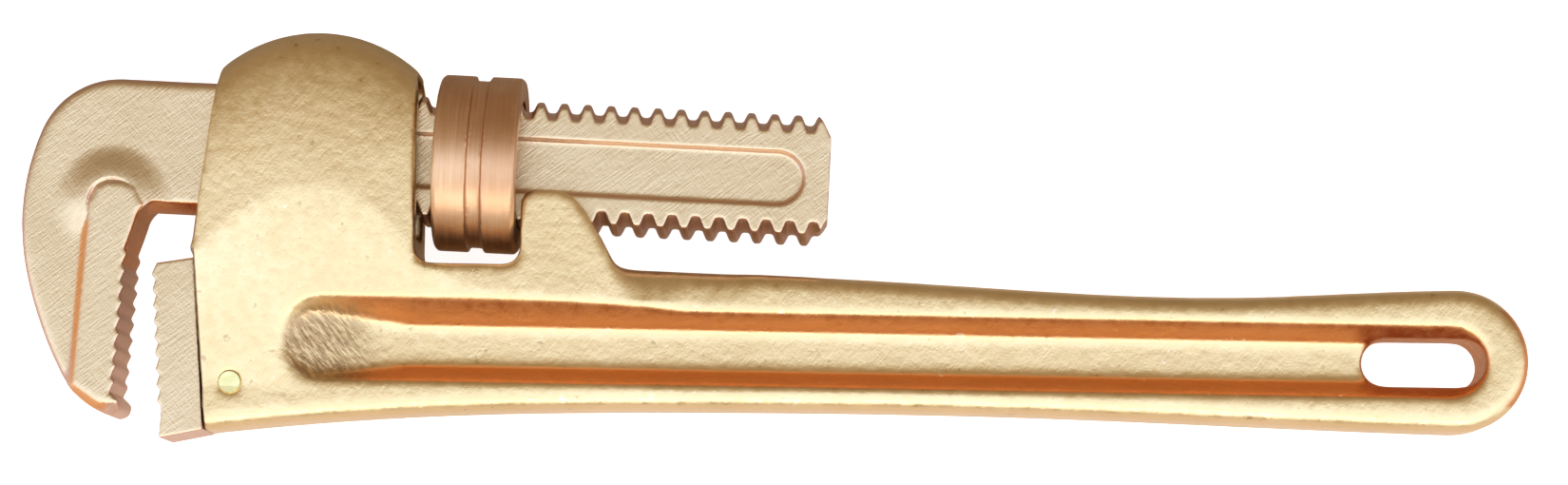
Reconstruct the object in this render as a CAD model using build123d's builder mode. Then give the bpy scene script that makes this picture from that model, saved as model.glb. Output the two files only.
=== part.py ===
from build123d import *
import math
import os

# Adjustable pipe wrench, lying on its side.  Millimetres, +Z up.
# Everything is drawn in a working frame whose origin is the middle of the
# adjusting nut: X towards the end of the handle, Y from the handle towards
# the jaw shank, Z up, mid-plane at Z = 0.  The last section moves the
# whole assembly so that the middle of its footprint is the origin.

os.makedirs("parts", exist_ok=True)

# ---- driving sizes ---------------------------------------------------------
handle_end_x = 225.0          # end of the handle from the nut centre
handle_axis_y = -40.5
eye_end_radius = 15.3         # round end of the handle
flange_half = 9.5             # half thickness of the I-section flanges
web_half = 3.5                # half thickness of the web between them
edge_round = 3.4              # cast rounding along the handle
eye_width = 10.1
eye_length = 26.0
eye_margin = 9.4              # metal between the eye and the end
recess_left = -33.6           # long recess, at the level of the web
recess_margin = 17.4          # the recess ends this far from the end
web_high = -35.5
web_low = -44.0
recess_depth = 10.0           # cutting depth, past the housing side
recess_taper = 33.0           # slope of its walls, degrees from upright
ramp_start = -15.0            # its floor rises from here to the housing
ramp_slope = 0.2

housing_half = 15.0           # half thickness of the cast housing
housing_arch_r = 32.1         # arched top, seen from the side
arch_x = -36.1
arch_y = -4.3
arch_rim = 5.5                # half thickness left at the rim of the arch
housing_nose = (-61.9, -20.5) # corner above the heel jaw
window_left_x = -14.0         # side of the nut window towards the jaws
window_right_x = 8.5          # side of the nut window at the lug
window_floor_y = -22.6
lug_top_y = -6.5
lug_crest_x = 15.5            # the lug is highest here
lug_foot_x = 32.0
side_end_x = 44.0             # the housing sides have met the handle here
housing_low_y = -49.5

shank_tilt = 2.15             # degrees the shank slopes from the handle axis
shank_half = 7.2              # half thickness of the flat-sided shank
crown_r = 14.15               # thread crests
thread_depth = 2.2
pitch = 5.08
crest_x = 67.2                # a crest on the upper side of the shank
shank_end = 74.7
thread_left = -17.0           # the thread runs out inside the housing
hook_back = -58.0             # the hook is drawn up to here

nut_radius = 19.15
nut_left = -10.1
nut_right = 7.9
nut_groove_w = 3.3
nut_groove_d = 1.0

face_half = 9.3               # half width of the toothed faces
tooth_depth = 0.95
pad_taper = 45                # the toothed part stands out with sloping sides
hook_tooth_pitch = 3.44
hook_teeth = 9
heel_tooth_pitch = 3.4
heel_teeth = 9

rock_travel = 2.5             # degrees the jaw rocks in the housing
gap = 0.35                    # free gap between bodies that move
seam = 0.2                    # visible seam between fixed pieces

pin_radius = 2.25
pin_x = -53.1
pin_y = -48.6
tang_half = 4.0
tang_size = (14.0, 24.0)      # square tang of the heel jaw
tang_middle = (-54.5, -40.0)

wire_radius = 0.55            # coil spring
coil_radius = 3.6             # to the middle of the wire
coil_height = 11.5
coil_turns = 6
coil_x = -27.0                # place of the springs along the shank
leaf_thickness = 0.9
leaf_half_width = 5.0
leaf_left = -44.0
leaf_right = -18.5
leaf_drop = 0.9               # its front end is turned down
rivet_radius = 1.5

# ---- sizes that follow from them -------------------------------------------
eye_right_x = handle_end_x - eye_margin
recess_right = handle_end_x - recess_margin
recess_middle = (web_high + web_low) / 2
root_r = crown_r - thread_depth
half_pitch = pitch / 2
pitch_radius = crown_r - thread_depth / 2
crown_edge = math.sqrt(crown_r ** 2 - shank_half ** 2)
passage_half = shank_half + gap + 0.05
rock_slope = math.tan(math.radians(rock_travel))
leaf_top = -crown_r - gap
leaf_bottom = leaf_top - leaf_thickness
trough_floor = leaf_bottom - leaf_drop - (window_right_x - leaf_left) * rock_slope - gap
coil_reach = window_right_x - coil_x + coil_radius + wire_radius
coil_top = leaf_bottom - coil_reach * rock_slope - gap
coil_floor = coil_top - coil_height

handle_shank_plane = Plane.XY.rotated((0, 0, -shank_tilt))
shank_place = Location((0, 0, 0), (0, 0, -shank_tilt))


# ---- handle and housing, one casting ---------------------------------------
def seat_x(y):
    """Seam line between the housing and the heel jaw."""
    return -61.2 - (y + 21.7) * 2.7 / 37.2


def housing_outline():
    """Side outline of the housing with the nut window and the lug."""
    reach = math.sqrt(housing_arch_r ** 2 - (window_left_x - arch_x) ** 2)
    shoulder = (window_left_x, arch_y + reach)
    brow = (-57.3, 19.7)
    with BuildLine() as outline:
        Polyline((seat_x(-35), -35), (seat_x(-21.7), -21.7), housing_nose, brow)
        ThreePointArc(brow, (arch_x, arch_y + housing_arch_r), shoulder)
        Line(shoulder, (window_left_x, window_floor_y + 8))
        FilletPolyline(
            (window_left_x, window_floor_y + 8), (window_left_x, window_floor_y),
            (window_right_x, window_floor_y), (window_right_x, window_floor_y + 8),
            radius=3.2,
        )
        FilletPolyline(
            (window_right_x, window_floor_y + 8), (window_right_x, lug_top_y),
            (lug_crest_x, lug_top_y), radius=3.0,
        )
        Spline(
            (lug_crest_x, lug_top_y), (20.9, -9.2), (23.9, -13.3), (28.2, -21.0),
            (lug_foot_x, -24.2), tangents=((1, 0), (1, -0.35)),
        )
        Polyline(
            (lug_foot_x, -24.2), (lug_foot_x + 1.5, -27.5), (side_end_x, -27.5),
            (side_end_x, housing_low_y), (seat_x(housing_low_y), housing_low_y),
            (seat_x(-35), -35),
        )
    return outline.line


def bar_outline():
    """Side outline of the handle bar under the housing."""
    end = (handle_end_x - eye_end_radius, handle_axis_y)
    top = (end[0], end[1] + eye_end_radius)
    bottom = (end[0], end[1] - eye_end_radius)
    with BuildLine() as outline:
        Line((seat_x(-24), -24), (seat_x(-58.9), -58.9))
        Spline(
            (seat_x(-58.9), -58.9), (-14.1, -54.8), (39.4, -53.1), (121.7, -53.3), bottom,
            tangents=((0.99, 0.12), (1, -0.02)),
        )
        ThreePointArc(bottom, (handle_end_x, end[1]), top)
        Spline(
            top, (162.5, -27.4), (100.0, -25.5), (34.9, -22.9),
            tangents=((-1, -0.02), (-1, 0.03)),
        )
        Line((34.9, -22.9), (seat_x(-24), -24))
    return outline.line


def side_waste(points, far, reach):
    """Closed outline between a smooth side line and the air beyond it."""
    with BuildLine() as outline:
        Spline(*points)
        Polyline(
            points[-1], (reach[1], points[-1][1]), (reach[1], far),
            (reach[0], far), (reach[0], points[0][1]), points[0],
        )
    return outline.line


with BuildPart() as head:
    # arched top of the housing, crowned like a shallow barrel
    with BuildSketch(Plane((arch_x, arch_y, 0), x_dir=(1, 0, 0), z_dir=(0, -1, 0))):
        with BuildLine():
            Line((0, -housing_half), (0, housing_half))
            for side in (1, -1):
                Spline(
                    (0, side * housing_half), (12, side * (housing_half - 0.35)),
                    (23, side * (housing_half - 1.7)), (28.5, side * (housing_half - 3.9)),
                    (housing_arch_r, side * arch_rim),
                    tangents=((1, 0), (0.25, -side)),
                )
            Line((housing_arch_r, -arch_rim), (housing_arch_r, arch_rim))
        make_face()
    revolve(axis=Axis((arch_x, arch_y, 0), (0, 0, 1)))
    with BuildSketch():
        with BuildLine():
            add(housing_outline())
        make_face()
    extrude(amount=housing_half, both=True, mode=Mode.INTERSECT)
    # housing below the arch, floor under the nut and the lug
    with BuildSketch():
        with BuildLine():
            add(housing_outline())
        make_face()
        with Locations((-10, -33)):
            Rectangle(120, 60, mode=Mode.INTERSECT)
    extrude(amount=housing_half, both=True)
    # the sides slope in towards the handle, the jaws and the lug
    for side in (1, -1):
        with BuildSketch(Plane.YZ.offset(-70)):
            with BuildLine():
                add(side_waste(
                    ((housing_low_y, flange_half * side), (-38, (flange_half + 1.4) * side),
                     (-22, (housing_half - 1.8) * side), (-7, housing_half * side)),
                    (housing_half + 6) * side, (-80, -6),
                ))
            make_face()
        extrude(amount=115, mode=Mode.SUBTRACT)
        with BuildSketch(Plane.XZ.offset(60)):
            with BuildLine():
                add(side_waste(
                    ((-63, (housing_half - 2.1) * side), (-50, (housing_half - 0.5) * side),
                     (arch_x, housing_half * side), (-22, (housing_half - 0.5) * side),
                     (-13, (housing_half - 1.7) * side), (10, (housing_half - 3.0) * side),
                     (24, (housing_half - 3.5) * side), (side_end_x, flange_half * side)),
                    (housing_half + 6) * side, (-80, 50),
                ))
            make_face()
        extrude(amount=-100, mode=Mode.SUBTRACT)

with BuildPart() as bar:
    with BuildSketch():
        with BuildLine():
            add(bar_outline())
        make_face()
    extrude(amount=flange_half, both=True)
    rim = (
        bar.edges()
        .filter_by(lambda e: abs(abs(e.center().Z) - flange_half) < 0.01)
        .filter_by(lambda e: e.geom_type != GeomType.LINE)
    )
    fillet(rim, radius=edge_round)

with BuildPart() as recess:
    # long channel with sloping walls, its floor ramps up at the housing end
    with BuildSketch(Plane.XY.offset(web_half)):
        with BuildLine():
            Polyline((recess_right, web_high - 1.5), (recess_left, web_high))
            ThreePointArc(
                (recess_left, web_high), (recess_left - 4.2, recess_middle),
                (recess_left, web_low),
            )
            Polyline((recess_left, web_low), (recess_right, web_low - 1.0))
            ThreePointArc(
                (recess_right, web_low - 1.0), (recess_right + 4.7, recess_middle - 1.3),
                (recess_right, web_high - 1.5),
            )
        make_face()
    extrude(amount=recess_depth, taper=-recess_taper)
    with BuildSketch(Plane.XZ):
        with BuildLine():
            Polyline(
                (ramp_start, web_half), (ramp_start - 45, web_half + 45 * ramp_slope),
                (ramp_start - 45, web_half), close=True,
            )
        make_face()
    extrude(amount=70, mode=Mode.SUBTRACT)
    mirror(about=Plane.XY)

with BuildPart() as passage:
    # room for the shank at rest and rocked down, higher towards the nut
    with BuildSketch(handle_shank_plane):
        with BuildLine():
            Polyline(
                (-70, crown_r + gap - 0.3), (-56, crown_r + gap + 0.1), (-8, crown_r + 4.3),
                (-8, leaf_bottom - 24 * rock_slope - gap),
                (-70, leaf_top - 79 * rock_slope - gap), close=True,
            )
        make_face()
    extrude(amount=passage_half, both=True)
    roof = (
        passage.edges()
        .filter_by(lambda e: e.length > 10 and e.center().Y > 10)
        .filter_by(lambda e: abs(abs(e.center().Z) - passage_half) < 0.01)
    )
    fillet(roof, radius=2.2)
    # slot of the lug, open at the top
    with BuildSketch(handle_shank_plane):
        with Locations((24, 0)):
            Rectangle(34, 2 * (crown_r + gap + 0.1))
    extrude(amount=passage_half, both=True)
    # trough for the leaf spring and a blind hole for the coil
    with BuildSketch(handle_shank_plane):
        with Locations(((leaf_left + leaf_right) / 2, trough_floor / 2)):
            Rectangle(leaf_right - leaf_left + 2, -trough_floor)
    extrude(amount=leaf_half_width + 0.6, both=True)
    with BuildSketch(Plane.XZ.offset(-coil_top - 3)):
        with Locations((coil_x, 0)):
            Circle(coil_radius + wire_radius + 0.3)
    extrude(amount=coil_height + 3)

with BuildPart() as handle_housing:
    add(head.part)
    add(bar.part)
    add(recess.part, mode=Mode.SUBTRACT)
    add(passage.part, mode=Mode.SUBTRACT)
    # eye for hanging the wrench up
    with BuildSketch():
        with Locations((eye_right_x - eye_length / 2, handle_axis_y - 0.45)):
            SlotOverall(eye_length, eye_width)
    extrude(amount=flange_half, both=True, mode=Mode.SUBTRACT)
    # seat of the heel jaw and the hole for its pin
    with BuildSketch():
        with Locations(tang_middle):
            Rectangle(*tang_size)
    extrude(amount=tang_half, both=True, mode=Mode.SUBTRACT)
    with Locations((pin_x, pin_y)):
        Hole(radius=pin_radius)


# ---- heel jaw and its pin --------------------------------------------------
def tooth_row(start, step, count, lean, out):
    """Points down a row of rounded saw teeth, steep side towards the lean."""
    points = []
    for i in range(count):
        x = start[0] + step[0] * i
        y = start[1] + step[1] * i
        points.append((x, y))
        points.append((x - out * tooth_depth, y + lean * step[1]))
    return points


with BuildPart() as heel_jaw:
    tips = tooth_row((-70.55, -25.7), (0.243, -heel_tooth_pitch), heel_teeth, 0.3, -1)
    with BuildSketch():
        with BuildLine():
            Polyline(
                (-69.5, -23.2), (seat_x(-21.9) - seam, -21.9),
                (seat_x(-58.9) - seam, -58.9), (-68.0, -60.8),
            )
            Polyline((-68.0, -60.8), (tips[-1][0], tips[-1][1] - 1.4), *reversed(tips), (-69.5, -23.2))
        make_face()
    extrude(amount=face_half + 0.2, both=True)
    with BuildSketch():
        with Locations(tang_middle):
            Rectangle(*tang_size)
    extrude(amount=tang_half, both=True)
    with Locations((pin_x, pin_y)):
        Hole(radius=pin_radius)

with BuildPart() as heel_jaw_pin:
    # cut off flush with the sides of the casting
    with Locations((pin_x, pin_y, 0)):
        Cylinder(pin_radius, 2 * housing_half)
    add(head.part + bar.part, mode=Mode.INTERSECT)


# ---- hook jaw, drawn along its own shank -----------------------------------
def hook_outline():
    """Side outline of the hook before the throat is cut out."""
    with BuildLine() as outline:
        back = Line((hook_back, crown_r), (-79, crown_r))
        for end in ((-96.0, 2.2), (-97.3, -28.5), (-88.2, -50.3), (-76.8, -59.0)):
            back = TangentArc(back @ 1, end, tangent=back % 1)
        back = Line(back @ 1, back @ 1 + (back % 1) * 12)
        Polyline(back @ 1, (hook_back, -50), (hook_back, crown_r))
    return outline.line


def throat_outline():
    """Everything the throat and the tooth gullets take away."""
    tips = tooth_row((-75.1, -24.2), (-0.1, -hook_tooth_pitch), hook_teeth, 0.66, 1)
    last = tips[-1]
    with BuildLine() as outline:
        Line((-50, -crown_edge), (-68.6, -crown_edge))
        ThreePointArc((-68.6, -crown_edge), (-72.2, -13.5), (-73.8, -16.6))
        Polyline((-73.8, -16.6), (-75.7, -22.9), *tips)
        Spline(
            last, (-75.0, -55.8), (-76.3, -58.9),
            tangents=((0.6, -0.6), (-1, -0.3)),
        )
        Polyline((-76.3, -58.9), (-76.3, -66), (-50, -66), (-50, -crown_edge))
    return outline.line


def tooth_pad_outline():
    """Outline of the wide toothed part at its foot on the hook."""
    with BuildLine() as outline:
        Polyline(
            (-60, -21.5), (-71.0, -11.6), (-72.9, -8.0), (-76.2, -6.5), (-81.4, -6.5),
            (-84.5, -8.5), (-86.1, -12.6), (-87.2, -54.0), (-80.0, -58.6), (-60, -58.6),
            close=True,
        )
    return outline.line


with BuildPart() as groove:
    # one quarter turn of the thread groove, centred on the upper side
    with BuildLine():
        turn = Helix(pitch=pitch, height=pitch / 4, radius=pitch_radius)
    with BuildSketch(Plane.XZ):
        with BuildLine():
            Polyline(
                (root_r, -0.167 * pitch), (root_r, 0.167 * pitch),
                (crown_r - 0.4, 0.325 * pitch), (crown_r, 0.384 * pitch),
                (crown_r + 0.6, 0.453 * pitch), (crown_r + 0.6, -0.453 * pitch),
                (crown_r, -0.384 * pitch), (crown_r - 0.4, -0.325 * pitch), close=True,
            )
        make_face()
    sweep(path=turn, is_frenet=True)

with BuildPart() as hook_blank:
    # hook, with its outer edges rounded
    with BuildSketch():
        with BuildLine():
            add(hook_outline())
        make_face()
    extrude(amount=shank_half, both=True)
    outer = (
        hook_blank.edges()
        .filter_by(lambda e: abs(abs(e.center().Z) - shank_half) < 0.01)
        .filter_by(lambda e: e.center().X < -62)
    )
    fillet(outer, radius=2.0)

with BuildPart() as tooth_pad:
    with BuildSketch(Plane.XY.offset(shank_half - 0.5)):
        with BuildLine():
            add(tooth_pad_outline())
        make_face()
    extrude(amount=face_half - shank_half + 0.5, taper=pad_taper)
    with BuildSketch():
        with BuildLine():
            add(hook_outline())
        make_face()
    extrude(amount=2 * face_half, mode=Mode.INTERSECT)
    mirror(about=Plane.XY)

with BuildPart() as shank_blank:
    with BuildSketch(Plane.YZ.offset(-73.5)):
        Circle(crown_r)
        Rectangle(4 * crown_r, 2 * shank_half, mode=Mode.INTERSECT)
    extrude(amount=shank_end + 73.5)
    # corners of the far end
    with BuildSketch():
        for side in (1, -1):
            with BuildLine():
                Polyline(
                    (shank_end - 3.4, side * (crown_r + 1)), (shank_end + 1, side * 7.0),
                    (shank_end + 1, side * (crown_r + 1)), close=True,
                )
            make_face()
    extrude(amount=2 * shank_half, both=True, mode=Mode.SUBTRACT)
    # long shallow pocket in both flat sides
    for side in (1, -1):
        with BuildSketch(Plane.XY.offset(side * shank_half)):
            with Locations((12.8, -0.5)):
                SlotOverall(113.6, 12.2)
        extrude(amount=-1.5 * side, taper=25, mode=Mode.SUBTRACT)
    # thread on the crowned sides
    turns = int((crest_x - half_pitch - thread_left) / pitch)
    for i in range(-1, turns + 1):
        x = crest_x - half_pitch - pitch * i
        with Locations(Location((x - pitch / 8, 0, 0), (0, 90, 45))):
            add(groove.part, mode=Mode.SUBTRACT)
        with Locations(Location((x + half_pitch - pitch / 8, 0, 0), (0, 90, -135))):
            add(groove.part, mode=Mode.SUBTRACT)

with BuildPart() as hook_jaw:
    add(hook_blank.part)
    add(tooth_pad.part)
    with BuildSketch():
        with BuildLine():
            add(throat_outline())
        make_face()
    extrude(amount=2 * face_half, both=True, mode=Mode.SUBTRACT)
    add(shank_blank.part)


# ---- adjusting nut, drawn along the shank ----------------------------------
with BuildPart() as nut_groove_half:
    # half a turn of the inside thread
    with BuildLine():
        half_turn = Helix(pitch=pitch, height=half_pitch, radius=pitch_radius)
    with BuildSketch(Plane.XZ):
        with BuildLine():
            Polyline(
                (root_r + 0.05, -0.4 * pitch), (root_r + 0.05, 0.4 * pitch),
                (crown_r + 0.4, 0.195 * pitch), (crown_r + 0.4, -0.195 * pitch), close=True,
            )
        make_face()
    sweep(path=half_turn, is_frenet=True)

with BuildPart() as adjusting_nut:
    with BuildSketch(Plane.YZ.offset(nut_left)):
        Circle(nut_radius)
        Circle(root_r + gap, mode=Mode.SUBTRACT)
    extrude(amount=nut_right - nut_left)
    rims = adjusting_nut.edges().filter_by(GeomType.CIRCLE)
    chamfer(rims.filter_by(lambda e: e.radius > nut_radius - 0.1), length=0.8)
    middle = (nut_left + nut_right) / 2
    with BuildSketch(Plane.YZ.offset(middle - nut_groove_w / 2)):
        Circle(nut_radius + 1)
        Circle(nut_radius - nut_groove_d, mode=Mode.SUBTRACT)
    extrude(amount=nut_groove_w, mode=Mode.SUBTRACT)
    # thread spaces stand round the crests of the shank
    whole = round((crest_x - middle) / pitch)
    reach = math.ceil((nut_right - nut_left) / pitch) + 1
    for i in range(-reach, reach):
        x = crest_x - whole * pitch + half_pitch * i
        turned = 180 * (i % 2)
        with Locations(Location((x, 0, 0), (0, 90, 90 + turned))):
            add(nut_groove_half.part, mode=Mode.SUBTRACT)


# ---- springs inside the housing --------------------------------------------
with BuildPart() as coil_spring:
    # stands in the blind hole of the housing floor
    rise = coil_height - 2 * wire_radius - 0.1
    with BuildLine():
        wire = Helix(pitch=rise / coil_turns, height=rise, radius=coil_radius)
    with BuildSketch(Plane(wire @ 0, z_dir=wire % 0)):
        Circle(wire_radius)
    sweep(path=wire, is_frenet=True)

with BuildPart() as flat_spring:
    # leaf under the thread crests, its ends turned down a little
    with BuildSketch():
        with BuildLine():
            Polyline(
                (leaf_left, leaf_top - leaf_drop), (leaf_left + 5, leaf_top), (leaf_right - 1, leaf_top),
                (leaf_right, leaf_top - 0.25), (leaf_right, leaf_top - 0.25 - leaf_thickness),
                (leaf_right - 1, leaf_bottom), (leaf_left + 5, leaf_bottom),
                (leaf_left, leaf_bottom - leaf_drop), close=True,
            )
        make_face()
    extrude(amount=leaf_half_width, both=True)
    with BuildSketch(Plane.XZ.offset(-leaf_top)):
        with Locations((coil_x, 0)):
            Circle(rivet_radius)
    extrude(amount=leaf_thickness + 1, mode=Mode.SUBTRACT)

with BuildPart() as spring_rivet:
    # flush in the leaf, its stem keeps the coil in place
    with BuildSketch(Plane.XZ.offset(-leaf_top)):
        with Locations((coil_x, 0)):
            Circle(rivet_radius)
    extrude(amount=leaf_thickness + 3.2)
    with BuildSketch(Plane.XZ.offset(-leaf_bottom)):
        with Locations((coil_x, 0)):
            Circle(rivet_radius + 0.7)
    extrude(amount=0.6)


# ---- put everything in the shared frame ------------------------------------
upright = Location((coil_x, coil_floor + wire_radius, 0), (-90, 0, 0))
pieces = {
    "handle_housing": handle_housing.part,
    "heel_jaw": heel_jaw.part,
    "heel_jaw_pin": heel_jaw_pin.part,
    "hook_jaw": hook_jaw.part.moved(shank_place),
    "adjusting_nut": adjusting_nut.part.moved(shank_place),
    "coil_spring": coil_spring.part.moved(upright),
    "flat_spring": flat_spring.part.moved(shank_place),
    "spring_rivet": spring_rivet.part.moved(shank_place),
}
boxes = [piece.bounding_box() for piece in pieces.values()]
low = Vector(*(min(getattr(b.min, k) for b in boxes) for k in "XYZ"))
high = Vector(*(max(getattr(b.max, k) for b in boxes) for k in "XYZ"))
to_frame = Location((-(low.X + high.X) / 2, -(low.Y + high.Y) / 2, -low.Z))
for name, piece in pieces.items():
    placed = piece.moved(to_frame)
    placed.label = name
    export_step(placed, "parts/" + name + ".step")
print("moved by", to_frame.position)
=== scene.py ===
# %% [markdown]
# # A cast bronze pipe wrench
# The wrench lies on its side on a lit shooting table.  The CAD model already
# holds every size and every joint, so this lesson builds only the looks
# round it: soft cast shapes, metal finishes, a table, soft light, a camera.
#
# First comes the fixed frame.  It brings in the eight CAD pieces, each already in its place, and
# measures the box round them all.

# %% Load the fixed frame
import math

import bmesh
import bpy
import numpy as np
from mathutils import Matrix, Vector, noise


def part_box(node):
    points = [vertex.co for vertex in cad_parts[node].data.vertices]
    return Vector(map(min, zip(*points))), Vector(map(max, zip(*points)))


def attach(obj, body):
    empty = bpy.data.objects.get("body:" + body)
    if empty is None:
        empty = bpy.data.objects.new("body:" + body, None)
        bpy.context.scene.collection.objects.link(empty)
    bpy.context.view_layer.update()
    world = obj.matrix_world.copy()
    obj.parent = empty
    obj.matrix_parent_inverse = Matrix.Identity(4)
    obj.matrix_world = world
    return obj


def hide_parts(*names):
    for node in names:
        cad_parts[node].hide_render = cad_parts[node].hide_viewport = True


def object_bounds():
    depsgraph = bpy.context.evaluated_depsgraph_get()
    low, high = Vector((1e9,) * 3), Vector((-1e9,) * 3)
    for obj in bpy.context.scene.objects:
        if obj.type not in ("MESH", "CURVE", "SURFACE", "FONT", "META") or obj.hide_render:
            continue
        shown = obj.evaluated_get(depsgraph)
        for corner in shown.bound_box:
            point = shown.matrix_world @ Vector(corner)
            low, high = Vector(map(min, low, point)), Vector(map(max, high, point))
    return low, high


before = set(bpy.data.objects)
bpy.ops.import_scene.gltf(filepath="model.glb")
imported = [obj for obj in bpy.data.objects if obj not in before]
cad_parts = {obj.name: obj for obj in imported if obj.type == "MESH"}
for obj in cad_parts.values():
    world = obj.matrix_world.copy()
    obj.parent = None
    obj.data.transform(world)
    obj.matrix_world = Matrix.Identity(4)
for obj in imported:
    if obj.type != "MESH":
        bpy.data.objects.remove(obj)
cad_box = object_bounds()
low, high = Vector(cad_box[0]), Vector(cad_box[1])
print("overall size in mm", [round(1000 * side, 1) for side in high - low])

# %% [markdown]
# The part was drawn in millimetres from the middle of the adjusting nut, and
# its jaw shank leans 2.15 degrees.  Two small helpers turn such sizes into
# places in the frame, so no place has to be typed in twice.  The middle of
# the nut's box is a little off the drawing's zero, because the nut reaches
# further towards the jaws than towards the lug.

# %% Places measured from the nut
MM = 0.001
LEAN = math.radians(2.15)
NUT_TO_ZERO = Vector((1.1, -0.041, 0.0)) * MM
nut_low, nut_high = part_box("adjusting_nut")
origin = (Vector(nut_low) + Vector(nut_high)) / 2 + NUT_TO_ZERO


def at(x, y, z=0.0):
    """A place given in mm along the handle."""
    return origin + Vector((x, y, z)) * MM


def along_handle(points):
    """Points as mm along the handle."""
    return (points - np.array(origin)) / MM


def along_shank(points):
    """The same mm frame, turned to lie along the shank."""
    local = along_handle(points)
    c, s = math.cos(LEAN), math.sin(LEAN)
    return np.stack((
        local[:, 0] * c - local[:, 1] * s, local[:, 0] * s + local[:, 1] * c, local[:, 2],
    ), axis=1)


print("nut centre", [round(v, 4) for v in origin])

# %% [markdown]
# A sand casting has no sharp edge anywhere.  Each CAD edge could be given a
# bevel, but that is slow and breaks where three of them meet.  Here the
# castings are rebuilt as a skin of tiny equal squares, a voxel remesh, which
# can be worked on like clay.  A plug closes a hole before the skin is laid.

# %% Voxel skin
def voxel_copy(name, new_name, voxel, plugs=()):
    """A new piece: the CAD node's shape as a fine even skin, voxel in mm."""
    shell = bmesh.new()
    shell.from_mesh(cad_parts[name].data)
    bmesh.ops.remove_doubles(shell, verts=shell.verts, dist=1e-7)
    for centre, radius, depth in plugs:
        bmesh.ops.create_cone(
            shell, cap_ends=True, segments=48, radius1=radius, radius2=radius,
            depth=depth, matrix=Matrix.Translation(centre),
        )
    mesh = bpy.data.meshes.new(new_name)
    shell.to_mesh(mesh)
    shell.free()
    piece = bpy.data.objects.new(new_name, mesh)
    bpy.context.collection.objects.link(piece)
    skin = piece.modifiers.new("skin", "REMESH")
    skin.mode = "VOXEL"
    skin.voxel_size = voxel * MM
    skin.use_smooth_shade = True
    graph = bpy.context.evaluated_depsgraph_get()
    done = bpy.data.meshes.new_from_object(piece.evaluated_get(graph))
    piece.modifiers.clear()
    piece.data = done
    done.name = new_name
    bpy.data.meshes.remove(mesh)
    print(new_name, "points", len(done.vertices))
    return piece


# %% [markdown]
# Relaxing moves each point towards the middle of its neighbours.  Sharp
# edges melt, flat faces stay flat, and a strength for each point keeps
# machined places crisp.  A smooth modifier does the same with one strength
# for all, so the points are moved by hand, as arrays, which is also quick.

# %% Moving points
def points_of(mesh):
    flat = np.empty(len(mesh.vertices) * 3)
    mesh.vertices.foreach_get("co", flat)
    return flat.reshape(-1, 3)


def put_points(mesh, points):
    mesh.vertices.foreach_set("co", points.ravel())
    mesh.update()
    mesh.shade_smooth()


def relax(mesh, points, rounds, strength):
    """Moves every point towards the mean of its neighbours."""
    ends = np.empty(len(mesh.edges) * 2, dtype=np.int32)
    mesh.edges.foreach_get("vertices", ends)
    a, b = ends.reshape(-1, 2).T
    count = len(points)
    degree = np.bincount(a, minlength=count) + np.bincount(b, minlength=count)
    for _ in range(rounds):
        mean = np.stack([
            np.bincount(a, points[b, k], count) + np.bincount(b, points[a, k], count)
            for k in range(3)
        ], axis=1) / degree[:, None]
        points = points + strength[:, None] * (mean - points)
    return points


def ease(value, start, stop):
    """0 before start, 1 after stop, and a smooth rise between them."""
    t = np.clip((value - start) / (stop - start), 0, 1)
    return t * t * (3 - 2 * t)


print("ease at a quarter", float(ease(0.25, 0, 1)))

# %% [markdown]
# The handle and housing are one casting: a long I-section bar, an arched
# housing for the shank and a lug beside the nut.  The hole of the jaw pin is
# plugged, because the pin fills it to the brim and was dressed off flush.

# %% Handle skin
pin_low, pin_high = (Vector(corner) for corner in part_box("heel_jaw_pin"))
pin_plug = ((pin_low + pin_high) / 2, 2.4 * MM, 16 * MM)
casting = voxel_copy("handle_housing", "handle_casting", 0.55, plugs=[pin_plug])

# %% [markdown]
# The casting gets the widest rounding of all.  Two places keep their shape:
# the seam where the heel jaw is fitted, and the trough of the leaf spring,
# where the leaf passes close by.  Behind the lug the top rim of the housing
# runs out into the handle, and many more rounds blend the two.

# %% Soften the handle
SEAM_X, SEAM_Y, SEAM_LEAN = -61.2, -21.7, 2.7 / 37.2
LEAF_ROOM = 2.5 * MM

points = points_of(casting.data)
local = along_handle(points)
seam_x = SEAM_X - (local[:, 1] - SEAM_Y) * SEAM_LEAN
from_seam = np.where(local[:, 1] < -19, np.abs(local[:, 0] - seam_x), 99)
strength = 0.5 * ease(from_seam, 0.4, 3.0)
leaf_low, leaf_high = (np.array(corner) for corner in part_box("flat_spring"))
by_leaf = np.all((points > leaf_low - LEAF_ROOM) & (points < leaf_high + LEAF_ROOM), axis=1)
strength[by_leaf] = 0
points = relax(casting.data, points, 16, strength)
rim = ease(local[:, 1], -30.5, -28.5)
run_out = ease(local[:, 0], 27.0, 34.0) * (1 - ease(local[:, 0], 52.0, 60.0))
points = relax(casting.data, points, 110, 0.5 * rim * run_out)
print("points kept as drawn", int(np.sum(strength == 0)))

# %% [markdown]
# The recess of the handle ends in a ramp under the housing.  It was never
# ground, so it gets shallow dents.  They come from a smooth noise read at
# each point, so they are real shape and the same in each run.

# %% Rough ramp
RAMP_Y = -39.75
DENT = 0.08

past_ramp_start = -local[:, 0]
on_ramp = ease(past_ramp_start, 13, 22) * (1 - ease(np.abs(local[:, 1] - RAMP_Y), 6.5, 9.5))
on_ramp *= ease(past_ramp_start, 13, 16) * (1 - ease(past_ramp_start, 41, 44))
points = relax(casting.data, points, 14, 0.45 * on_ramp)
dented = np.nonzero(on_ramp > 0.01)[0]
for i in dented:
    x, y, z = points[i] / MM
    dent = noise.noise(Vector((x * 0.9 + y * 0.5, y * 0.55 - x * 0.25, z * 0.4)))
    points[i, 2] += np.sign(local[i, 2]) * DENT * dent * on_ramp[i] * MM
put_points(casting.data, points)
print("points on the ramps", len(dented))

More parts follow.
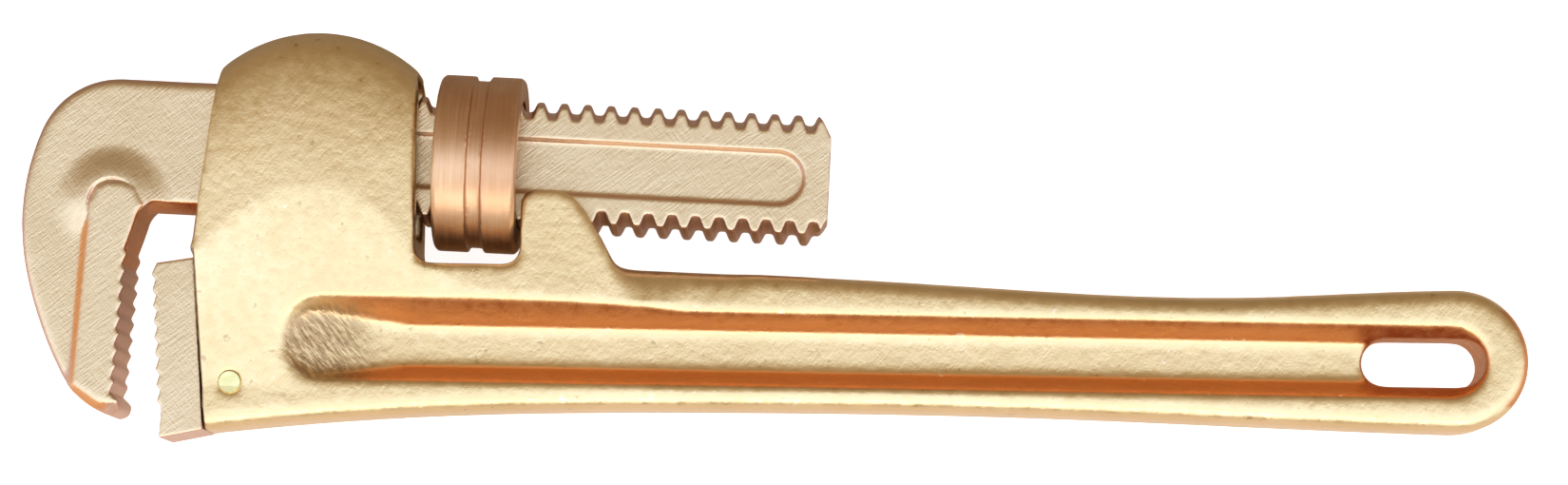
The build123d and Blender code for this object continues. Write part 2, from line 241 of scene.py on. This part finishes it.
# %% [markdown]
# The hook jaw is forged and then milled.  Its head has soft edges, while the
# teeth keep most of their edge and the thread on the shank is left as cut.
# A finer skin than the handle's is needed, or the teeth would be lost.

# %% Hook jaw
hook = voxel_copy("hook_jaw", "hook_jaw_forging", 0.32)
points = points_of(hook.data)
place = along_shank(points)
head = ease(-place[:, 0], 60.0, 64.0)
on_teeth = ease(place[:, 0], -79.0, -76.0) * ease(-place[:, 1], 14.0, 20.0)
points = relax(hook.data, points, 10, 0.5 * head * (1 - 0.85 * on_teeth))
points = relax(hook.data, points, 2, np.full(len(points), 0.35))
print("points on the head", int(np.sum(head > 0.5)))

# %% [markdown]
# Above the toothed pad the forging swells into a soft collar.  A sculptor
# would raise it with a brush.  Here the brush is a ring-shaped strength that
# lifts both sides of the hook, highest beside the pad and fading outwards.

# %% Collar over the pad
COLLAR_X, COLLAR_Y, COLLAR_LIFT = -79.3, -13.3, 1.7
SHANK_SIDE = 7.2

place = along_shank(points)
from_collar = np.hypot(place[:, 0] - COLLAR_X, place[:, 1] - COLLAR_Y)
collar = (1 - ease(from_collar, 5.4, 13.0)) * ease(from_collar, 4.6, 5.6)
collar *= ease(place[:, 1], -24.0, -12.0)
height = np.abs(place[:, 2])
lift = np.maximum(SHANK_SIDE + COLLAR_LIFT * collar - height, 0) * ease(height, 6.4, 7.0)
points[:, 2] += np.sign(place[:, 2]) * lift * (collar > 0) * head * MM
points = relax(hook.data, points, 2, 0.5 * head * (1 - on_teeth))
put_points(hook.data, points)
print("collar height in mm", round(float(np.max(lift * (collar > 0) * head)), 2))

# %% [markdown]
# The nut is turned from bar and the heel jaw is milled, so both have crisp
# edges with only the sharpness taken off.  A very fine skin and three rounds
# of relaxing give about the same edge as a few strokes with a file.

# %% Nut and heel jaw
def filed_copy(name, new_name, voxel):
    piece = voxel_copy(name, new_name, voxel)
    points = points_of(piece.data)
    put_points(piece.data, relax(piece.data, points, 3, np.full(len(points), 0.5)))
    return piece


nut = filed_copy("adjusting_nut", "nut_ring", 0.3)
heel = filed_copy("heel_jaw", "heel_jaw_block", 0.25)

# %% [markdown]
# Each new piece stands for one CAD node and moves with that node's body.
# The CAD nodes stay in the model for collision and are only hidden.  The pin,
# the rivet and the two springs are right as drawn, so they stay in view.

# %% Each new piece rides where the CAD piece rode
for piece, node_name, body, slot in (
    (casting, "handle_housing", "handle", "cast_bronze"),
    (hook, "hook_jaw", "hook", "jaw_bronze"),
    (nut, "adjusting_nut", "nut", "nut_copper"),
    (heel, "heel_jaw", "handle", "jaw_bronze"),
):
    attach(piece, body)
    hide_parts(node_name)
    print(piece.name, "rides on", body)

# %% [markdown]
# A metal finish is a Principled shader with metallic at one, so all of its
# colour is in the reflection.  Marks are grown from noise, with no picture
# laid over the part, so there is no seam and any zoom has detail.  Node
# trees are long to write, so a small class gives each kind a short call.

# %% Node helpers
class Finish:
    """A metal under construction, with short calls for its nodes."""

    def __init__(self, name):
        self.material = bpy.data.materials.new(name)
        self.material.use_nodes = True
        self.tree = self.material.node_tree
        self.tree.nodes.clear()
        self.out = self.add("ShaderNodeOutputMaterial")
        self.shader = self.add("ShaderNodeBsdfPrincipled", Metallic=1.0)
        self.join(self.shader.outputs[0], self.out.inputs["Surface"])
        self.place = self.add("ShaderNodeTexCoord")

    def add(self, kind, **values):
        made = self.tree.nodes.new(kind)
        for key, value in values.items():
            label = key.replace("_", " ")
            if label in made.inputs:
                made.inputs[label].default_value = value
            else:
                setattr(made, key, value)
        return made

    def join(self, out, into):
        self.tree.links.new(out, into)

    def colour_from(self, out):
        self.join(out, self.shader.inputs["Base Color"])

    def rough_from(self, out):
        self.join(out, self.shader.inputs["Roughness"])

    def math(self, operation, first, second=None):
        made = self.add("ShaderNodeMath", operation=operation)
        for slot, value in zip(made.inputs, (first, second)):
            if value is None:
                continue
            if isinstance(value, (int, float)):
                slot.default_value = value
            else:
                self.join(value, slot)
        return made.outputs[0]

    def both(self, first, second):
        """1 only where both masks are 1."""
        return self.math("MULTIPLY", first, second)

    def ramp(self, value, start, stop, low=0.0, high=1.0):
        made = self.add(
            "ShaderNodeMapRange", interpolation_type="SMOOTHSTEP",
            From_Min=start, From_Max=stop, To_Min=low, To_Max=high,
        )
        self.join(value, made.inputs["Value"])
        return made.outputs["Result"]

    def between(self, value, start, stop, soft):
        up = self.ramp(value, start - soft, start)
        down = self.ramp(value, stop, stop + soft, 1.0, 0.0)
        return self.both(up, down)

    def mix(self, factor, first, second):
        made = self.add("ShaderNodeMix", data_type="RGBA")
        slots = (made.inputs[0], made.inputs[6], made.inputs[7])
        for slot, value in zip(slots, (factor, first, second)):
            if isinstance(value, (int, float)):
                slot.default_value = value
            elif isinstance(value, tuple):
                slot.default_value = (*value, 1)
            else:
                self.join(value, slot)
        return made.outputs[2]

    def stretched(self, per_metre, turn):
        """The object's own space, turned about Z and then scaled."""
        made = self.add("ShaderNodeMapping", vector_type="TEXTURE", Rotation=(0, 0, turn))
        made.inputs["Scale"].default_value = [1 / part for part in per_metre]
        self.join(self.place.outputs["Object"], made.inputs["Vector"])
        return made.outputs[0]

    def noise(self, scale, detail=4.0, where=None):
        made = self.add("ShaderNodeTexNoise", Scale=scale, Detail=detail, Roughness=0.55)
        self.join(where or self.place.outputs["Object"], made.inputs["Vector"])
        return made.outputs["Fac"]

    def strokes(self, per_metre, degrees, detail=3.0):
        """Noise drawn out into strokes at an angle."""
        return self.noise(1, detail, self.stretched(per_metre, math.radians(degrees)))

    def axis(self, which, of="Object"):
        made = self.add("ShaderNodeSeparateXYZ")
        self.join(self.place.outputs[of], made.inputs[0])
        return made.outputs[which]

    def steep(self, flat_from, flat_to):
        """1 on walls, 0 on faces that look straight up or down."""
        upright = self.math("ABSOLUTE", self.axis(2, "Normal"))
        return self.ramp(upright, flat_from, flat_to, 1.0, 0.0)

    def bump(self, layers):
        """Stacks height fields: (height, depth in mm)."""
        normal = None
        for height, depth in layers:
            made = self.add("ShaderNodeBump", Strength=1.0, Distance=depth * MM)
            self.join(height, made.inputs["Height"])
            if normal is not None:
                self.join(normal, made.inputs["Normal"])
            normal = made.outputs[0]
        self.join(normal, self.shader.inputs["Normal"])


print("node calls", [name for name in vars(Finish) if not name.startswith("_")])

# %% [markdown]
# The open faces of the casting were fettled, but three places differ.  The steep walls of the long
# recess are painted red-orange, a painted reflection and shade from the walls facing them.  The
# rough ramp, which was never ground, gets brown marks with painted shade, darkest at its end.  Oil
# sits in the thin seam along the heel jaw.  Such places could be painted by hand.  Here each is a
# mask worked out from where a point lies in the object and which way it faces, so it stays put
# when the part turns.

# %% Places on the casting
# Painted reflection and shade: a mask of the steep recess walls, which the colour below turns
# red-orange.
def recess_wall_painted_reflection(skin):
    across = skin.between(
        skin.axis(1), origin.y - 49.8 * MM, origin.y - 30.2 * MM, 1.0 * MM)
    along = skin.ramp(skin.axis(0), origin.x - 40 * MM, origin.x - 24 * MM)
    return skin.both(skin.both(skin.steep(0.66, 0.96), across), along)


def rough_ramp_with_shade(skin):
    """A round-ended strip: near a line that stops at the ramp's end, and fading away from that
    end, where its painted shade is darkest.
    """
    past = skin.math("MINIMUM", skin.math("SUBTRACT", skin.axis(0), origin.x - 33.5 * MM), 0.0)
    aside = skin.math("SUBTRACT", skin.axis(1), origin.y - 39.8 * MM)
    squares = skin.math("ADD", skin.both(past, past), skin.both(aside, aside))
    inside = skin.ramp(skin.math("SQRT", squares), 7.4 * MM, 9.2 * MM, 1.0, 0.0)
    # Painted shade: darkest at the ramp's end, fading towards the right.
    fading = skin.ramp(skin.axis(0), origin.x - 31 * MM, origin.x - 19 * MM, 1.0, 0.0)
    return skin.both(inside, fading)


def by_seam(skin):
    down = skin.math("SUBTRACT", skin.axis(1), origin.y + SEAM_Y * MM)
    right = skin.math("SUBTRACT", skin.axis(0), origin.x + SEAM_X * MM)
    past_seam = skin.math("ADD", right, skin.math("MULTIPLY", down, SEAM_LEAN))
    near = skin.ramp(past_seam, 0.25 * MM, 0.5 * MM, 0.85, 0.0)
    below = skin.ramp(skin.axis(1), origin.y - 20.5 * MM, origin.y - 19.5 * MM, 1.0, 0.0)
    return skin.both(near, below)


# %% [markdown]
# Cast bronze is a warm pale gold.  Cloudy patches, brown specks and a few
# pale ones vary its colour, and bumps of four sizes, from soft hammered
# dents to a fine grain, break up the reflection as a sand mould does.

# %% Cast bronze
def cast_bronze():
    skin = Finish("fettled_cast_bronze")
    cloud = skin.noise(45, 5)
    fine = skin.noise(420, 5)
    grain = skin.noise(2600, 3)
    rubs = skin.strokes((300, 1700, 300), 52, 4)
    colour = skin.mix(skin.ramp(cloud, 0.3, 0.7), (0.80, 0.64, 0.36), (0.86, 0.70, 0.42))
    # Painted reflection and shade: the steep walls of the recess turn red-orange.
    colour = skin.mix(recess_wall_painted_reflection(skin), colour, (0.71, 0.34, 0.14))
    ramp_and_shade = rough_ramp_with_shade(skin)
    marks = skin.strokes((330, 1150, 300), -52)
    # Painted shade on the ramp, darkest at its end, broken up by the rough marks.
    ramp_marks_and_shade = skin.both(ramp_and_shade, skin.ramp(marks, 0.35, 0.6, 0.35, 1.0))
    colour = skin.mix(ramp_marks_and_shade, colour, (0.45, 0.31, 0.17))
    colour = skin.mix(by_seam(skin), colour, (0.16, 0.08, 0.035))
    colour = skin.mix(skin.ramp(fine, 0.27, 0.35, 0.55, 0.0), colour, (0.42, 0.28, 0.14))
    pale = skin.ramp(skin.noise(330, 2), 0.70, 0.76, 0.0, 0.6)
    colour = skin.mix(pale, colour, (0.92, 0.84, 0.64))
    skin.colour_from(colour)
    skin.rough_from(skin.ramp(fine, 0.3, 0.7, 0.28, 0.42))
    skin.bump([
        (cloud, 0.3), (fine, 0.14), (rubs, 0.05), (grain, 0.03),
        (skin.both(marks, ramp_and_shade), 0.3),
    ])
    return skin.material


# %% [markdown]
# The jaws are a paler bronze, wiped with abrasive cloth in two directions, so thin scratches cross
# at right angles.  Their steep walls and rounded edges are painted pinker, a painted reflection.
# The steep walls of the throat, and of the far side of the toothed pad, get a painted orange
# reflection and shade.  Two boxes in the object's space hold it there.

# %% Jaw bronze
THROAT = (-79, -58, -23, -9)
PAD_SIDE = (-87, -80, -54, -15)


def inside_box(skin, box):
    left, right, bottom, top = box
    return skin.both(
        skin.between(skin.axis(0), origin.x + left * MM, origin.x + right * MM, 0.8 * MM),
        skin.between(skin.axis(1), origin.y + bottom * MM, origin.y + top * MM, 1.5 * MM))


def jaw_bronze():
    skin = Finish("milled_jaw_bronze")
    cloud = skin.noise(60, 5)
    fine = skin.noise(700, 4)
    grain = skin.noise(3200, 2)
    rising = skin.strokes((260, 2600, 260), 38)
    falling = skin.strokes((240, 2800, 240), -52)
    colour = skin.mix(skin.ramp(cloud, 0.3, 0.7), (0.73, 0.60, 0.39), (0.79, 0.66, 0.45))
    hatch = skin.math(
        "ADD", skin.ramp(rising, 0.30, 0.42, 0.28, 0.0), skin.ramp(falling, 0.28, 0.38, 0.22, 0.0))
    colour = skin.mix(hatch, colour, (0.60, 0.46, 0.27))
    walls = skin.steep(0.72, 0.975)
    # Painted reflection: steep walls and rounded edges turn pinker.
    colour = skin.mix(walls, colour, (0.74, 0.52, 0.40))
    # Painted reflection and shade: the steep walls in the throat and on the pad's far side turn
    # orange.
    enclosed_painted_reflection = skin.math("MAXIMUM", inside_box(skin, THROAT), inside_box(skin, PAD_SIDE))
    colour = skin.mix(skin.both(enclosed_painted_reflection, walls), colour, (0.84, 0.42, 0.18))
    skin.colour_from(colour)
    skin.rough_from(skin.ramp(fine, 0.3, 0.7, 0.3, 0.4))
    skin.bump([(cloud, 0.16), (fine, 0.05), (rising, 0.09), (falling, 0.05), (grain, 0.03)])
    return skin.material


# %% [markdown]
# The nut was turned in a lathe, which leaves fine rings round its axis.  A
# wave texture would repeat too evenly.  Noise that is squeezed along the
# axis alone gives uneven rings, and it is turned to lie along the shank.

# %% Turned nut
def turned_bronze():
    skin = Finish("turned_nut_bronze")
    cloud = skin.noise(70, 4)
    rings = skin.noise(1, 4, skin.stretched((4200, 60, 60), -LEAN))
    colour = skin.mix(skin.ramp(rings, 0.35, 0.65), (0.68, 0.43, 0.25), (0.76, 0.52, 0.33))
    patches = skin.ramp(cloud, 0.35, 0.65, 0.0, 0.5)
    colour = skin.mix(patches, colour, (0.56, 0.30, 0.16))
    skin.colour_from(colour)
    skin.rough_from(skin.ramp(rings, 0.3, 0.7, 0.33, 0.41))
    skin.bump([(rings, 0.02), (cloud, 0.03)])
    return skin.material


# %% [markdown]
# The pin is a yellower brass, dressed off flush, and the springs are a dark
# bronze wire and strip.  They are small, so one plain recipe with two
# colours serves both: a soft cloud between them and a fine grain.

# %% Pin, rivet and springs
def plain_bronze(name, dark, light, rough):
    skin = Finish(name)
    cloud = skin.noise(300, 4)
    grain = skin.noise(2500, 3)
    skin.colour_from(skin.mix(skin.ramp(cloud, 0.35, 0.65), dark, light))
    skin.rough_from(skin.ramp(grain, 0.3, 0.7, rough - 0.05, rough + 0.08))
    skin.bump([(cloud, 0.03), (grain, 0.01)])
    return skin.material


# %% [markdown]
# A material is given to a piece by its slots.  A CAD node's slots are filled anew, and its mesh is
# left alone.

# %% Put the finishes on
def coat(piece, material):
    piece.data.materials.clear()
    piece.data.materials.append(material)
    print(piece.name, "is coated in", material.name)


coat(casting, cast_bronze())
jaw = jaw_bronze()
coat(hook, jaw)
coat(heel, jaw)
coat(nut, turned_bronze())
brass = plain_bronze("pin_brass_end", (0.74, 0.70, 0.36), (0.84, 0.80, 0.47), 0.36)
spring = plain_bronze("spring_bronze", (0.50, 0.34, 0.18), (0.66, 0.48, 0.27), 0.35)
for name in ("heel_jaw_pin", "spring_rivet"):
    coat(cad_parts[name], brass)
for name in ("coil_spring", "flat_spring"):
    coat(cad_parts[name], spring)

# %% [markdown]
# The tool lies on a white table.  A plain white table would also shine back
# into the metal and turn its lower rims white.  In a studio, dark cards are
# laid just outside the view to stop this.  Here the table does both jobs:
# the camera sees white, and reflections see brown, darkest past the arch.

# %% Table
bpy.ops.mesh.primitive_plane_add(size=6, location=(0, 0, low.z - 0.0002))
table = bpy.context.object
table.name = "shooting_table"
paper = bpy.data.materials.new("lit_white_table")
paper.use_nodes = True
nodes, links = paper.node_tree.nodes, paper.node_tree.links


def matt(shader, colour, rough, glow, strength):
    shader.inputs["Base Color"].default_value = (*colour, 1)
    shader.inputs["Roughness"].default_value = rough
    shader.inputs["Emission Color"].default_value = (*glow, 1)
    shader.inputs["Emission Strength"].default_value = strength
    return shader


white = matt(nodes["Principled BSDF"], (0.93, 0.93, 0.935), 0.9, (1, 1, 1), 0.85)
card = matt(nodes.new("ShaderNodeBsdfPrincipled"), (0, 0, 0), 1.0, (1.0, 0.78, 0.58), 0.10)
spot, split, fade, tint, seen, blend = (nodes.new("ShaderNode" + kind) for kind in (
    "TexCoord", "SeparateXYZ", "MapRange", "Mix", "LightPath", "MixShader"))
fade.inputs["From Min"].default_value = -0.01
fade.inputs["From Max"].default_value = 0.06
tint.data_type = "RGBA"
tint.inputs[6].default_value = (0.72, 0.59, 0.50, 1)
tint.inputs[7].default_value = (0.20, 0.14, 0.09, 1)
for out, into in (
    (spot.outputs["Object"], split.inputs[0]),
    (split.outputs["Y"], fade.inputs["Value"]),
    (fade.outputs["Result"], tint.inputs[0]),
    (tint.outputs[2], card.inputs["Base Color"]),
    (seen.outputs["Is Camera Ray"], blend.inputs[0]),
    (card.outputs[0], blend.inputs[1]),
    (white.outputs[0], blend.inputs[2]),
    (blend.outputs[0], nodes["Material Output"].inputs["Surface"]),
):
    links.new(out, into)
table.data.materials.append(paper)
print("table height in mm", round(1000 * table.location.z, 2))

# %% [markdown]
# Polished metal shows what surrounds it.  Round the table stands a studio
# that is bright and cool in front of the tool and falls off to a dim warm
# brown behind it, so flat faces are cream near the front edge and gold
# towards the arch.  An image of a studio could do this, but a colour ramp by
# direction is enough.  A spline ramp clips at one, so its stops hold shares
# of the brightest light, and the strength gives the true level back.

# %% Studio surround
BRIGHTEST = 2.4
LEVEL = 0.88
STOPS = (
    (0.00, (0.44, 0.33, 0.25)), (0.10, (0.74, 0.60, 0.48)), (0.18, (1.15, 1.12, 1.10)),
    (0.32, (1.60, 1.72, 2.00)), (0.44, (1.70, 1.88, 2.30)), (0.50, (1.55, 1.66, 1.92)),
    (0.56, (1.00, 0.97, 0.92)), (0.62, (0.80, 0.66, 0.47)), (0.70, (0.53, 0.37, 0.21)),
    (1.0, (0.34, 0.23, 0.14)),
)
world = bpy.data.worlds.new("studio")
bpy.context.scene.world = world
world.use_nodes = True
tree = world.node_tree
background = tree.nodes["Background"]
direction, parts, stretch, ramp = (tree.nodes.new("ShaderNode" + kind) for kind in (
    "TexCoord", "SeparateXYZ", "MapRange", "ValToRGB"))
stretch.inputs["From Min"].default_value = -1.0
stretch.inputs["From Max"].default_value = 1.0
tree.links.new(direction.outputs["Generated"], parts.inputs[0])
tree.links.new(parts.outputs["Y"], stretch.inputs["Value"])
tree.links.new(stretch.outputs["Result"], ramp.inputs["Fac"])
tree.links.new(ramp.outputs["Color"], background.inputs["Color"])
ramp.color_ramp.interpolation = "B_SPLINE"
for i, (stop, colour) in enumerate(STOPS):
    if i < 2:
        element = ramp.color_ramp.elements[i]
        element.position = stop
    else:
        element = ramp.color_ramp.elements.new(stop)
    element.color = (*(part / BRIGHTEST for part in colour), 1)
background.inputs["Strength"].default_value = LEVEL * BRIGHTEST
print("surround stops", len(ramp.color_ramp.elements))

# %% [markdown]
# One wide soft box near the front edge gives the surround a direction, so
# the lower edges of the tool catch a light line.  A small lamp would put a
# hard glint on each dent instead.

# %% Soft box
box_data = bpy.data.lights.new("near_soft_box", "AREA")
box_data.shape = "RECTANGLE"
box_data.size, box_data.size_y = 1.2, 0.4
box_data.energy = 3.0
soft_box = bpy.data.objects.new("near_soft_box", box_data)
bpy.context.collection.objects.link(soft_box)
soft_box.location = (0.0, -0.75, 0.55)
soft_box.rotation_euler = (at(0, 0) - soft_box.location).to_track_quat("-Z", "Y").to_euler()
print("soft box watts", box_data.energy)

# %% [markdown]
# The camera looks almost straight down from nearly a metre, tipped by six
# degrees towards the arch and set to the right of the tool's middle.  Its
# place is given from the nut and its turn as a matrix, whose columns are the
# camera's right, its up and its back.  The plain Standard view keeps white
# paper white, where a film-like view would grey it.

# %% Camera
camera_data = bpy.data.cameras.new("camera")
camera_data.lens = 93.85
camera_data.sensor_width = 36.0
camera_data.clip_end = 20
camera = bpy.data.objects.new("camera", camera_data)
bpy.context.collection.objects.link(camera)
eye = at(74.254, -112.269, 880.712)
camera.matrix_world = Matrix((
    (0.99986, -0.01273, 0.01043, eye.x),
    (0.01379, 0.99400, -0.10853, eye.y),
    (-0.00899, 0.10866, 0.99404, eye.z),
    (0, 0, 0, 1),
))
bpy.context.scene.camera = camera
bpy.context.scene.view_settings.view_transform = "Standard"
print("camera height in mm", round(1000 * eye.z))

# %% [markdown]
